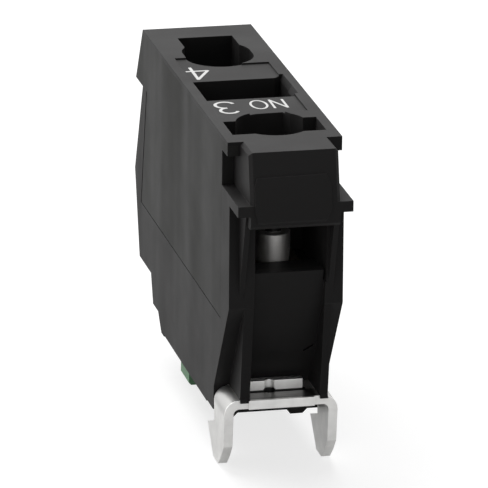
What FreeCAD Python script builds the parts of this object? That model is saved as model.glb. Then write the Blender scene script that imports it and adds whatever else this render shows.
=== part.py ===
import FreeCAD, Part
import os
import re

import Sketcher

# One normally open contact block, 10 mm wide, that clips under a push button's collar.
# X is across the block, Y along it with the front wire entry at -Y, and Z up, with the
# screws on top. The origin is on the underside that seats on the collar, half way
# between the two terminal screws. All sizes are in millimetres.

doc = FreeCAD.newDocument("ContactBlock")
sheet = doc.addObject("Spreadsheet::Sheet", "Sizes")

DRIVING = [
    # moulded body
    ("width", 10.0), ("height", 25.7), ("wall", 0.9), ("well_spacing", 22.0),
    ("top_front", 15.0), ("top_rear", 20.0),
    # nose over the front wire entry, with the catch ledges beside it
    ("nose_half", 3.9), ("nose_lip", 3.3), ("nose_reach", 4.35), ("nose_bevel", 0.3), ("pad_rise", 0.15),
    ("lug_thick", 1.25), ("lug_depth", 2.0), ("ledge_top", 21.3), ("ledge_thick", 0.95),
    ("panel_front", 16.0), ("panel_bend", 11.2),
    # front posts, the web under each ledge and the sloped panel between the posts
    ("void_left", 2.8), ("void_right", 3.4), ("post_half", 3.65), ("post_top", 16.4),
    ("post_foot", 15.0), ("web_top", 18.6), ("foot_level", 2.4), ("toe", 10.7), ("heel", 10.5),
    ("panel_top", 16.1), ("panel_mid", 15.3), ("panel_low", 11.3),
    ("slit_x", 2.35), ("slit_level", 5.9), ("lip_reach", 11.4), ("bar_cover", 0.15),
    # wire entries and the screw wells
    ("sill", 14.2), ("sill_thick", 1.0), ("ledge_level", 14.0), ("ledge_end", 12.6), ("entry_top", 19.15),
    ("chamber_top", 20.3),
    ("chamber_inner", 7.6), ("well_radius", 3.07), ("well_floor", 22.1), ("guide_radius", 2.7),
    ("front_well_near", 10.7), ("front_well_far", 9.85), ("front_well_end", 6.85), ("well_corner", 1.7),
    ("rear_well_near", 10.7), ("rear_well_far", 11.9),
    ("key_half", 1.93), ("rear_key_half", 2.5), ("rear_key_end", 16.7),
    # middle pocket and the label field on top
    ("pocket_front", 2.3), ("pocket_rear", 3.45), ("pocket_right", 4.0), ("pocket_floor", 21.7),
    ("pocket_step", 0.1), ("pocket_break", 0.6), ("ramp", 0.25), ("ramp_depth", 0.6),
    ("label_depth", 0.15), ("label_front", 7.05), ("label_rear", 7.96),
    ("label_step", 10.5), ("label_right", 3.87),
    # rear end: hood, belly and the catch step under it
    ("hood_reach", 2.8), ("hood_level", 20.45), ("neck_y", 19.8), ("belly_y", 23.0),
    ("belly_level", 11.8), ("catch_y", 20.7), ("catch_level", 4.0), ("catch_depth", 5.0),
    ("tail_y", 14.7), ("tail_level", 1.4), ("tail_run", 2.2), ("seat_rear", 11.2),
    ("rear_void_top", 18.85), ("rear_void_low", 18.3), ("rear_void_floor", 5.2),
    ("hook_relief", 0.15),
    # side cover
    ("cover_top", 25.35), ("cover_bottom", 9.3), ("seam_low", 20.3), ("seam_high", 18.25),
    ("seam_gap", 0.1),
    ("peg_radius", 0.6), ("peg_length", 1.2), ("peg_play", 0.02),
    # small feet under the seat
    ("foot_drop", 0.78), ("rear_foot_drop", 0.15),
    # switching mechanism
    ("plunger_y", 3.7), ("plunger_half", 1.7), ("plunger_wide", 4.4), ("plunger_drop", 2.05),
    ("guide_gap", 0.05), ("foot_height", 3.0), ("frame_half", 2.6), ("frame_post", 0.7),
    ("window_floor", 4.2), ("window_top", 10.0), ("yoke_top", 12.0), ("stem_half", 1.5),
    ("stem_top", 14.0), ("pin_radius", 0.7), ("pin_height", 1.4), ("spring_ceiling", 20.2),
    ("mech_front", 2.0), ("mech_rear", 8.9), ("mech_floor", 3.4), ("mech_top", 15.2),
    ("bridge_half", 5.0), ("bridge_width", 3.0), ("bridge_thick", 0.8), ("tip_offset", 4.0),
    ("tip_radius", 1.0), ("tip_thick", 0.5), ("contact_gap", 1.6), ("seat_pin_radius", 0.6),
    ("seat_pin_height", 0.7), ("return_radius", 1.3), ("return_wire", 0.35), ("return_turns", 5.0),
    ("contact_radius", 1.25), ("contact_wire", 0.3), ("contact_turns", 3.75),
    # terminals
    ("strip_half", 2.5), ("strip_level", 12.6), ("strip_thick", 0.8), ("strip_end", 3.0),
    ("rear_strip_end", 16.0), ("shank_radius", 1.5), ("shank_play", 0.05), ("shank_bottom", 11.4),
    ("shank_top", 16.35), ("neck_radius", 1.05), ("head_radius", 2.6), ("head_level", 18.6),
    ("head_height", 1.6), ("drive_width", 0.7), ("drive_length", 3.8), ("drive_depth", 0.9),
    ("tip_taper", 0.5), ("hole_floor", 7.0), ("hole_radius", 1.6), ("plate_half_x", 3.1),
    ("plate_half_y", 1.45), ("plate_level", 17.5), ("plate_thick", 0.7), ("plate_lip", 0.6),
    ("plate_lip_in", 2.6), ("washer_radius", 2.45), ("washer_thick", 0.4), ("washer_split", 0.4),
    # retaining clip
    ("clip_thick", 0.8), ("clip_front", 15.0), ("clip_rear", 10.8), ("clip_bend", 1.3),
    ("leg_knee_y", 14.7), ("leg_knee", 1.9), ("leg_slant_y", 13.75), ("leg_slant", 3.05),
    ("leg_tip_y", 12.6), ("leg_tip", 4.1), ("leg_back_y", 10.75),
    ("barb_y", 8.35), ("barb_low", 1.65), ("barb_high", 0.7),
    ("flange_y", 13.0), ("flange_half", 2.35), ("flange_height", 0.95), ("flange_slot", 0.3),
    ("bar_step", 0.25),
    ("rib_radius", 0.45), ("rib_x", 0.6), ("tang_in", 2.7), ("tang_out", 3.8), ("tang_length", 1.2),
]

for row, (alias, value) in enumerate(DRIVING, start=1):
    cell = "B%d" % row
    sheet.set("A%d" % row, alias)
    sheet.set(cell, str(value))
    sheet.setAlias(cell, alias)
doc.recompute()

NAMES = {alias for alias, value in DRIVING}
YZ_PLANE = FreeCAD.Rotation(FreeCAD.Vector(1, 1, 1), 120)
XZ_PLANE = FreeCAD.Rotation(FreeCAD.Vector(1, 0, 0), 90)
XY_PLANE = FreeCAD.Rotation()


def formula(text):
    """Turn a formula over the size names into an expression over the sheet."""
    return re.sub(r"[a-z_]+", lambda m: "Sizes." + m.group() if m.group() in NAMES else m.group(), text)


def bind(thing, prop, text):
    thing.setExpression(prop, formula(text))


def place(thing, x, y, z):
    for axis, text in (("x", x), ("y", y), ("z", z)):
        bind(thing, "Placement.Base." + axis, text)


def box(name, x, y, z):
    """A block between two formulas along each axis."""
    thing = doc.addObject("Part::Box", name)
    for prop, (low, high) in (("Length", x), ("Width", y), ("Height", z)):
        bind(thing, prop, "(%s) - (%s)" % (high, low))
    place(thing, x[0], y[0], z[0])
    return thing


def cylinder(name, radius, x, y, z):
    """An upright cylinder on the point x, y between the two heights of z."""
    thing = doc.addObject("Part::Cylinder", name)
    bind(thing, "Radius", radius)
    bind(thing, "Height", "(%s) - (%s)" % (z[1], z[0]))
    place(thing, x, y, z[0])
    return thing


def outline(name, points, rotation):
    """A closed sketch whose corners are each held at two formulas."""
    sketch = doc.addObject("Sketcher::SketchObject", name)
    sketch.Placement.Rotation = rotation
    spots = [FreeCAD.Vector(measure(a), measure(b), 0) for a, b in points]
    for i, spot in enumerate(spots):
        sketch.addGeometry(Part.LineSegment(spot, spots[(i + 1) % len(spots)]), False)
    for i, (a, b) in enumerate(points):
        following = (i + 1) % len(points)
        sketch.addConstraint(Sketcher.Constraint("Coincident", i, 2, following, 1))
        for kind, text, value in (("DistanceX", a, spots[i].x), ("DistanceY", b, spots[i].y)):
            number = sketch.addConstraint(Sketcher.Constraint(kind, -1, 1, i, 1, value))
            bind(sketch, "Constraints[%d]" % number, text)
    return sketch


def measure(text):
    """The value of a formula over the size names, as a plain number."""
    value = sheet.evalExpression(formula(text))
    return float(getattr(value, "Value", value))


def extrude(name, sketch, direction, low, high):
    """Stretch a sketch along one axis from one formula to another."""
    thing = doc.addObject("Part::Extrusion", name)
    thing.Base = sketch
    thing.DirMode = "Custom"
    thing.Dir = direction
    thing.Solid = True
    bind(thing, "LengthFwd", "(%s) - (%s)" % (high, low))
    axis = "xyz"[[abs(c) for c in direction].index(1)]
    bind(sketch, "Placement.Base." + axis, low)
    return thing


def prism_x(name, points, low, high):
    """A solid with a Y, Z outline, between two X positions."""
    return extrude(name, outline(name + "_outline", points, YZ_PLANE), FreeCAD.Vector(1, 0, 0), low, high)


def prism_y(name, points, low, high):
    """A solid with an X, Z outline, between two Y positions."""
    return extrude(name, outline(name + "_outline", points, XZ_PLANE), FreeCAD.Vector(0, 1, 0), low, high)


def prism_z(name, points, low, high):
    """A solid with an X, Y outline, between two heights."""
    return extrude(name, outline(name + "_outline", points, XY_PLANE), FreeCAD.Vector(0, 0, 1), low, high)


def fuse(name, *things):
    thing = doc.addObject("Part::MultiFuse", name)
    thing.Shapes = list(things)
    thing.Refine = True
    return thing


def cut(name, base, *tools):
    thing = doc.addObject("Part::Cut", name)
    thing.Base = base
    thing.Tool = tools[0] if len(tools) == 1 else fuse(name + "_tools", *tools)
    thing.Refine = True
    return thing


def edges_where(thing, test):
    """Numbers of the edges whose middle point passes a test."""
    doc.recompute()
    found = []
    for number, edge in enumerate(thing.Shape.Edges, start=1):
        middle = edge.valueAt((edge.FirstParameter + edge.LastParameter) / 2)
        if test(middle, edge):
            found.append(number)
    return found


def chamfer(name, base, size, test):
    thing = doc.addObject("Part::Chamfer", name)
    thing.Base = base
    amount = measure(size)
    thing.Edges = [(number, amount, amount) for number in edges_where(base, test)]
    return thing


nodes = []


def finish(thing, label):
    """Name a sub-part and put it on the list of files to write."""
    thing.Label = label
    nodes.append(thing)
    return thing


FRONT = "-well_spacing / 2"
REAR = "well_spacing / 2"
LEFT = "-width / 2"
RIGHT = "width / 2"
COVER_IN = "-width / 2 + wall"
ROOM = "1"


def side_outline():
    """The body seen from the side, with the ledge and the notch at the front."""
    return [
        ("-top_front", "height"), ("top_rear", "height"),
        ("top_rear + hood_reach", "hood_level"), ("neck_y", "hood_level"),
        ("belly_y", "belly_level"), ("catch_y", "catch_level"),
        ("catch_y - catch_depth", "catch_level"), ("tail_y", "tail_level"),
        ("tail_y - tail_run", "tail_level"), ("seat_rear", "0"),
        ("-heel", "0"), ("-toe", "foot_level"), ("-panel_front - 0.2", "panel_bend"),
        ("-panel_front", "ledge_top - ledge_thick"),
        ("-top_front - nose_reach", "ledge_top - ledge_thick"), ("-top_front - nose_reach", "ledge_top"),
        ("-top_front + lug_depth", "ledge_top"), ("-top_front + lug_depth", "height - lug_thick"),
        ("-top_front", "height - lug_thick"),
    ]


def cover_outline(gap):
    """The side cover's outline, with the gap left open at its slanted rear seam and its level lower seam."""
    return [
        ("-top_front", "cover_top"), ("-top_front", "height - lug_thick"),
        ("-top_front + lug_depth", "height - lug_thick"),
        ("-top_front + lug_depth", "cover_bottom + " + gap),
        ("seam_low - 2.5 * " + gap, "cover_bottom + " + gap), ("seam_high - 2.5 * " + gap, "hood_level"),
        ("top_rear + hood_reach", "hood_level"),
        ("top_rear + hood_reach * (height - cover_top) / (height - hood_level)", "cover_top"),
    ]


PEGS = [("-well_spacing / 4 + 0.2", "17.2"), ("5.6", "23.4"), ("-well_spacing / 4 - 1.8", "10.9"),
        ("16.6", "11.2")]


def pegs(name, radius, length):
    """Round locating pegs of the cover, or the holes they enter."""
    made = []
    for i, (y, z) in enumerate(PEGS):
        peg = doc.addObject("Part::Cylinder", "%s_%d" % (name, i))
        bind(peg, "Radius", radius)
        bind(peg, "Height", length)
        peg.Placement.Rotation = FreeCAD.Rotation(FreeCAD.Vector(0, 1, 0), 90)
        place(peg, COVER_IN, y, z)
        made.append(peg)
    return made


def well(name, near, far, end):
    """The room of a screw well: a round-ended slot between two centres, cut flat at its far end."""
    level = ("well_floor", "height + 1")
    slot = fuse(name + "_slot", cylinder(name + "_near", "well_radius", "0", near, level),
                box(name + "_middle", ("-well_radius", "well_radius"), (near, far), level),
                cylinder(name + "_far", "well_radius", "0", far, level))
    return cut(name, slot, box(name + "_limit", ("-width", "width"), (end, end + " + width"),
                               ("height - width", "height + 2")))


def on_nose_edge(middle, edge):
    """The nose's long side edges on top and its slanted front ones."""
    if abs(abs(middle.x) - measure("nose_half")) > 1e-6:
        return False
    slanted = middle.y < measure("-top_front - nose_lip") and middle.z > measure("ledge_top")
    return slanted or middle.z > measure("height") - 1e-6


def ramp_outline(inner):
    """The sloped top of the pocket's right wall, from its inner edge up to the outer one."""
    return [
        (inner + " - 0.1", "height - ramp_depth"), (inner, "height - ramp_depth"),
        ("pocket_right + ramp", "height"), ("pocket_right + ramp", "height + 1"),
        (inner + " - 0.1", "height + 1"),
    ]


def housing():
    """The moulded body: one solid with wells, chambers, wire entries, pocket and catches."""
    body = prism_x("body_side", side_outline(), LEFT, RIGHT)
    nose = prism_x("nose_block", [
        ("-top_front + lug_depth", "height"), ("-top_front - nose_lip", "height"),
        ("-top_front - nose_reach", "ledge_top"), ("-top_front - nose_reach", "entry_top + nose_bevel"),
        ("-top_front - nose_reach + nose_bevel", "entry_top"),
        ("-top_front + lug_depth", "entry_top")], "-nose_half", "nose_half")
    nose = chamfer("nose_bevelled", nose, "nose_bevel", on_nose_edge)
    pad = doc.addObject("Part::MultiCommon", "nose_pad")
    pad.Shapes = [
        prism_x("pad_side", [
            ("-top_front", "height - 1"), ("-top_front - nose_lip - pad_rise", "height"),
            ("-top_front - nose_reach - pad_rise", "ledge_top"),
            ("-top_front - nose_reach - pad_rise", "entry_top + 0.7"),
            ("-top_front - nose_reach + 0.1", "entry_top + 0.35"), ("-top_front", "entry_top + 0.35")],
                "-nose_half", "nose_half"),
        prism_y("pad_face", [
            ("-nose_half + 0.6", "height - 2.1"), ("nose_half - 1.2", "height - 2"),
            ("nose_half - 0.8", "height - 2.9"), ("nose_half - 0.8", "ledge_top - 0.6"),
            ("nose_half - 1.5", "entry_top"), ("-nose_half + 0.8", "entry_top"),
            ("-nose_half + 0.35", "ledge_top - 0.5"), ("-nose_half + 0.35", "height - 2.8")],
                "-top_front - nose_reach - 1", "-top_front"),
    ]
    posts = []
    for name, low, high in (("left", "-post_half", "-void_left"),
                            ("right", "void_right", "width / 2 - wall")):
        posts.append(prism_x("post_" + name, [
            ("-heel", "entry_top"), ("-post_top", "entry_top"), ("-post_top", "sill - 0.8"),
            ("-post_foot", "foot_level"), ("-heel", "foot_level")], low, high))
    for name, low, high in (("left", "-post_half", "-void_left"),
                            ("right", "void_right", "width / 2 - wall")):
        posts.append(prism_x("toe_" + name, [
            ("-post_foot + 0.1", "foot_level + 0.1"), ("-post_foot - 0.02", "foot_level + 0.1"),
            ("-post_foot - 0.25", "foot_level - 0.2"), ("-post_foot - 0.02", "foot_level - 0.2"),
            ("-post_foot - 0.02", "foot_level"), ("-post_foot + 0.1", "foot_level")], low, high))
    for name, low, high in (("left", COVER_IN, "-post_half"), ("right", "post_half", "width / 2 - wall")):
        posts.append(prism_x("web_" + name, [
            ("-heel", "ledge_top - ledge_thick / 2"), ("-web_top", "ledge_top - ledge_thick / 2"),
            ("-panel_front - 0.1", "panel_bend + 0.9"), ("-heel", "panel_bend + 0.9")], low, high))
    feet = [box("foot_" + name, reach, ("seat_rear - 1.3", "seat_rear - 0.1"),
                ("-rear_foot_drop", "tail_level"))
            for name, reach in (("left", (LEFT, LEFT + " + 1.3")), ("right", (RIGHT + " - 1.3", RIGHT)))]
    for name, low, high in (("outer", "-4.1", "-2.8"), ("inner", "1.6", "3.4")):
        feet.append(prism_y("foot_" + name, [
            (low, "tail_level"), (low, "-foot_drop / 2"), (low + " + 0.3", "-foot_drop"),
            (high + " - 0.4", "-foot_drop"), (high, "-foot_drop / 2"), (high, "tail_level")],
                            "-heel + 0.1", "-heel + 1.5"))
    lip = box("clip_lip", (COVER_IN, "width / 2 - wall"), ("-lip_reach", "-heel + 0.1"),
              ("0", "foot_level - clip_thick - 0.05"))
    web = prism_x("clip_web", [
        ("-clip_front - 0.2", "foot_level"), ("-clip_front + 0.05", "foot_level + bar_cover"),
        ("-flange_y - flange_slot", "foot_level + bar_cover"), ("-flange_y - flange_slot", "foot_level")],
                  "-void_left - 0.1", "void_right + 0.1")
    solid = fuse("body_solid", body, nose, pad, lip, web, *posts, *feet)

    tools = [
        prism_x("cover_seat", cover_outline("0"), LEFT + " - " + ROOM, COVER_IN),
        prism_x("front_void", [
            ("-top_front - 6", "sill"), ("-panel_top", "sill"), ("-panel_mid", "panel_bend"),
            ("-panel_low", "foot_level"), ("-top_front - 6", "foot_level")], "-void_left", "void_right"),
        prism_z("jamb_flare", [
            ("void_right - 0.1", "-panel_top + sill_thick"), ("void_right", "-panel_top + sill_thick"),
            ("void_right + 0.35", "-top_front - nose_reach - 1"),
            ("void_right - 0.1", "-top_front - nose_reach - 1")],
                "sill - 1", "entry_top"),
        prism_y("mould_slit", [
            ("slit_x", "slit_level"), ("slit_x + 0.1", "slit_level - 0.15"),
            ("slit_x + 0.9", "slit_level + 0.45"), ("slit_x + 0.8", "slit_level + 0.6")],
                "-top_front", "-panel_low - 0.9"),
        box("front_entry", ("-void_left", "void_right"), ("-top_front - 6", "-top_front + 1"),
            ("sill", "entry_top")),
        prism_x("rear_void", [
            ("belly_y + 2", "sill"), ("rear_void_top", "sill"), ("rear_void_low", "rear_void_floor"),
            ("belly_y + 2", "rear_void_floor")], "-void_left", "void_right"),
        box("rear_entry", ("-void_left", "void_right"), ("rear_strip_end", "belly_y + 2"),
            ("sill", "entry_top")),
        box("front_chamber", (COVER_IN, "void_right"), ("-panel_top + sill_thick", "-chamber_inner"),
            ("ledge_level", "chamber_top")),
        box("rear_chamber", (COVER_IN, "void_right"), ("chamber_inner", "rear_strip_end + 0.4"),
            ("ledge_level", "chamber_top")),
        box("front_clamp_room", (COVER_IN, "void_right"), ("-ledge_end", "-chamber_inner"),
            ("strip_level + strip_thick", "ledge_level + 0.1")),
        box("rear_clamp_room", (COVER_IN, "void_right"), ("chamber_inner", "ledge_end"),
            ("strip_level + strip_thick", "ledge_level + 0.1")),
        box("front_slot", (COVER_IN, "strip_half"), ("-panel_top + sill_thick", "strip_end"),
            ("strip_level", "strip_level + strip_thick")),
        box("rear_slot", (COVER_IN, "strip_half"), ("plunger_y + strip_end", "rear_strip_end"),
            ("strip_level", "strip_level + strip_thick")),
        well("front_well", "-front_well_near", "-front_well_far", "-front_well_end"),
        prism_z("front_well_corner", [
            ("-0.6", "-front_well_far + 1.3"), ("well_corner + 0.9", "-front_well_far + 1.3"),
            ("well_corner", "-front_well_end + 0.1"), ("-0.6", "-front_well_end")],
                "well_floor", "height + 1"),
        box("front_key", (COVER_IN, "width / 2 - wall"), (FRONT + " - key_half", FRONT + " + key_half"),
            ("well_floor", "height + 1")),
        cylinder("front_guide", "guide_radius", "0", FRONT, ("chamber_top - 0.1", "well_floor + 0.1")),
        well("rear_well", "rear_well_near", "rear_well_far", "rear_key_end"),
        box("rear_key", ("-rear_key_half", "rear_key_half"), (REAR, "rear_key_end"),
            ("well_floor", "height + 1")),
        cylinder("rear_guide", "guide_radius", "0", REAR, ("chamber_top - 0.1", "well_floor + 0.1")),
        cylinder("front_shank_room", "hole_radius", "0", FRONT, ("hole_floor", "strip_level + 0.1")),
        cylinder("rear_shank_room", "hole_radius", "0", REAR, ("hole_floor", "strip_level + 0.1")),
        prism_z("pocket", [
            (COVER_IN, "-pocket_front"), ("pocket_right - pocket_step", "-pocket_front"),
            ("pocket_right - pocket_step", "pocket_break"), ("pocket_right", "pocket_break"),
            ("pocket_right", "pocket_rear + 0.6"), ("pocket_right - 0.6", "pocket_rear"),
            (COVER_IN, "pocket_rear")], "pocket_floor", "height + 1"),
        prism_y("pocket_ramp", ramp_outline("pocket_right"), "pocket_break - 0.1", "pocket_rear + 0.6"),
        prism_y("pocket_wide_ramp", ramp_outline("pocket_right - pocket_step"),
                "-pocket_front + 0.4", "pocket_break"),
        box("label_front_field", (COVER_IN, "label_right"), ("-label_front", "label_rear"),
            ("height - label_depth", "height + 1")),
        box("label_rear_field", (COVER_IN, "0"), ("label_rear - 0.1", "label_step"),
            ("height - label_depth", "height + 1")),
        box("mechanism_room", (COVER_IN, "width / 2 - wall"), ("-mech_front", "mech_rear"),
            ("mech_floor", "mech_top")),
        box("spring_room", (COVER_IN, "2.2"),
            ("plunger_y - plunger_half - 0.3", "plunger_y + plunger_half + 0.3"),
            ("mech_top - 0.1", "spring_ceiling")),
        box("plunger_slot", ("-plunger_wide - guide_gap", "plunger_wide + guide_gap"),
            ("plunger_y - plunger_half - guide_gap", "plunger_y + plunger_half + guide_gap"),
            ("-1", "mech_floor + 3.6")),
        box("hook_relief_left", ("-width", COVER_IN), ("-heel - 1", "-barb_y + 0.5"),
            ("-1", "hook_relief")),
        box("hook_relief_right", ("width / 2 - wall", "width"), ("-heel - 1", "-barb_y + 0.5"),
            ("-1", "hook_relief")),
        box("tang_slot_left", ("-tang_out", "-tang_in"), ("-heel - 1", "-clip_rear + tang_length"),
            ("foot_level - clip_thick", "foot_level")),
        box("tang_slot_right", ("tang_in", "tang_out"), ("-heel - 1", "-clip_rear + tang_length"),
            ("foot_level - clip_thick", "foot_level")),
    ]
    tools += pegs("peg_hole", "peg_radius + peg_play", "peg_length + peg_play")
    finish(cut("housing_cut", solid, *tools), "housing")


def side_cover():
    """The flat left cover, with four locating pegs on its inner face."""
    plate = prism_x("cover_plate", cover_outline("seam_gap"), LEFT, COVER_IN)
    finish(fuse("cover_fuse", plate, *pegs("peg", "peg_radius", "peg_length")), "side_cover")


def plunger():
    """The green pusher: a wide foot, a window for the bridge and a pin for the return spring."""
    depth = ("plunger_y - plunger_half", "plunger_y + plunger_half")
    blade = prism_y("plunger_blade", [
        ("-plunger_wide + 0.2", "-plunger_drop"), ("plunger_wide - 0.2", "-plunger_drop"),
        ("plunger_wide", "-plunger_drop + 0.2"), ("plunger_wide", "foot_height"),
        ("frame_half", "foot_height"), ("frame_half", "yoke_top"), ("stem_half", "yoke_top"),
        ("stem_half", "stem_top"), ("-stem_half", "stem_top"), ("-stem_half", "yoke_top"),
        ("-frame_half", "yoke_top"), ("-frame_half", "foot_height"), ("-plunger_wide", "foot_height"),
        ("-plunger_wide", "-plunger_drop + 0.2")], *depth)
    window = box("plunger_window", ("-frame_half + frame_post", "frame_half - frame_post"),
                 ("plunger_y - plunger_half - 1", "plunger_y + plunger_half + 1"),
                 ("window_floor", "window_top"))
    pin = cylinder("plunger_pin", "pin_radius", "0", "plunger_y",
                   ("stem_top - 0.1", "stem_top + pin_height"))
    seat = cylinder("plunger_seat", "seat_pin_radius", "0", "plunger_y",
                    ("window_floor - 0.1", "window_floor + seat_pin_height"))
    finish(fuse("plunger_fuse", cut("plunger_cut", blade, window), pin, seat), "plunger")


def bridge():
    """The moving contact bridge with a tip on each end."""
    low = "window_top - bridge_thick"
    bar = box("bridge_bar", ("-bridge_width / 2", "bridge_width / 2"),
              ("plunger_y - bridge_half", "plunger_y + bridge_half"), (low, "window_top"))
    button = cylinder("bridge_button", "seat_pin_radius", "0", "plunger_y",
                      (low + " - seat_pin_height", low + " + 0.1"))
    finish(fuse("bridge_fuse", bar, button), "contact_bridge")
    for name, sign in (("front", "-"), ("rear", "+")):
        tip = cylinder("moving_tip_" + name, "tip_radius", "0", "plunger_y %s tip_offset" % sign,
                       ("window_top", "window_top + tip_thick"))
        finish(tip, "bridge_tip_" + name)


def coil(name, radius, wire, turns, low, high):
    """A round wire wound on an upright helix between two heights."""
    path = doc.addObject("Part::Helix", name + "_path")
    bind(path, "Radius", radius)
    bind(path, "Pitch", "((%s) - (%s) - %s) / %s" % (high, low, wire, turns))
    bind(path, "Height", "(%s) - (%s) - %s" % (high, low, wire))
    place(path, "0", "plunger_y", "%s + %s / 2" % (low, wire))
    section = doc.addObject("Part::RegularPolygon", name + "_section")
    section.Polygon = 8
    bind(section, "Circumradius", wire + " / 2")
    section.Placement.Rotation = XZ_PLANE
    place(section, radius, "plunger_y", "%s + %s / 2" % (low, wire))
    thing = doc.addObject("Part::Sweep", name + "_sweep")
    thing.Sections = [section]
    thing.Spine = (path, [])
    thing.Solid = True
    thing.Frenet = True
    return thing


def springs():
    finish(coil("return_coil", "return_radius", "return_wire", "return_turns",
                "stem_top", "spring_ceiling"), "return_spring")
    finish(coil("contact_coil", "contact_radius", "contact_wire", "contact_turns", "window_floor",
                "window_top - bridge_thick"), "contact_spring")


def terminal(name, centre, low, high, tip_y):
    """A flat terminal strip with the screw's hole and a fixed contact tip below its inner end."""
    strip = box(name + "_strip", ("-strip_half", "strip_half"), (low, high),
                ("strip_level", "strip_level + strip_thick"))
    hole = cylinder(name + "_strip_hole", "shank_radius + shank_play", "0", centre,
                    ("strip_level - 1", "strip_level + strip_thick + 1"))
    finish(cut(name + "_strip_cut", strip, hole), name + "_terminal")
    finish(cylinder(name + "_tip", "tip_radius", "0", tip_y, ("strip_level - tip_thick", "strip_level")),
           name + "_fixed_tip")


def clamp(name, centre):
    """The saddle plate, split lock washer and screw of one terminal, shown with the clamp open."""
    plate = box(name + "_plate", ("-plate_half_x", "plate_half_x"),
                (centre + " - plate_half_y", centre + " + plate_half_y"),
                ("plate_level", "plate_level + plate_thick + plate_lip"))
    channel = box(name + "_plate_channel", ("-plate_lip_in", "plate_lip_in"),
                  (centre + " - plate_half_y - 1", centre + " + plate_half_y + 1"),
                  ("plate_level + plate_thick", "plate_level + plate_thick + 2"))
    hole = cylinder(name + "_plate_hole", "neck_radius + shank_play", "0", centre,
                    ("plate_level - 1", "plate_level + plate_thick + 1"))
    finish(cut(name + "_plate_cut", plate, channel, hole), name + "_clamp_plate")

    top = "plate_level + plate_thick"
    ring = cylinder(name + "_ring", "washer_radius", "0", centre, (top, top + " + washer_thick"))
    bore = cylinder(name + "_ring_bore", "neck_radius + shank_play", "0", centre,
                    (top + " - 1", top + " + washer_thick + 1"))
    split = box(name + "_ring_split", ("0", "washer_radius + 1"),
                (centre + " - washer_split / 2", centre + " + washer_split / 2"),
                (top + " - 1", top + " + washer_thick + 1"))
    finish(cut(name + "_ring_cut", ring, bore, split), name + "_lock_washer")

    shank = cylinder(name + "_shank", "shank_radius", "0", centre, ("shank_bottom", "shank_top"))
    neck = cylinder(name + "_neck", "neck_radius", "0", centre, ("shank_top - 0.1", "head_level + 0.1"))
    head = cylinder(name + "_head", "head_radius", "0", centre, ("head_level", "head_level + head_height"))
    screw = fuse(name + "_screw_fuse", shank, neck, head)
    screw = chamfer(name + "_screw_point", screw, "tip_taper",
                    lambda p, e: abs(p.z - measure("shank_bottom")) < 1e-6)
    screw = chamfer(name + "_screw_head", screw, "0.3",
                    lambda p, e: abs(p.z - measure("head_level + head_height")) < 1e-6)
    slots = []
    for turn, (wide, long) in (("across", ("drive_length", "drive_width")),
                               ("along", ("drive_width", "drive_length"))):
        slots.append(box(name + "_drive_" + turn, ("-%s / 2" % wide, wide + " / 2"),
                         (centre + " - %s / 2" % long, centre + " + %s / 2" % long),
                         ("head_level + head_height - drive_depth", "head_level + head_height + 1")))
    finish(cut(name + "_screw_cut", screw, *slots), name + "_screw")


def terminals():
    terminal("front", FRONT, "-panel_top + sill_thick", "plunger_y - strip_end", "plunger_y - tip_offset")
    terminal("rear", REAR, "plunger_y + strip_end", "rear_strip_end", "plunger_y + tip_offset")
    clamp("front", FRONT)
    clamp("rear", REAR)


def clip_bend(name, side):
    """A quarter turn of the sheet between the crossbar and one leg."""
    centre = "%s(width / 2 - clip_bend)" % ("-" if side < 0 else "")
    made = []
    for part, radius in (("outer", "clip_bend"), ("inner", "clip_bend - clip_thick")):
        thing = doc.addObject("Part::Cylinder", "%s_%s" % (name, part))
        bind(thing, "Radius", radius)
        bind(thing, "Height", "clip_front - clip_rear")
        thing.Placement.Rotation = FreeCAD.Rotation(FreeCAD.Vector(1, 0, 0), -90)
        place(thing, centre, "-clip_front", "foot_level - clip_bend")
        made.append(thing)
    reach = ("-width", centre) if side < 0 else (centre, "width")
    quarter = box(name + "_quarter", reach, ("-clip_front - 1", "-clip_rear + 1"),
                  ("foot_level - clip_bend", "foot_level + 1"))
    bend = doc.addObject("Part::MultiCommon", name)
    bend.Shapes = [cut(name + "_tube", *made), quarter]
    return bend


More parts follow.
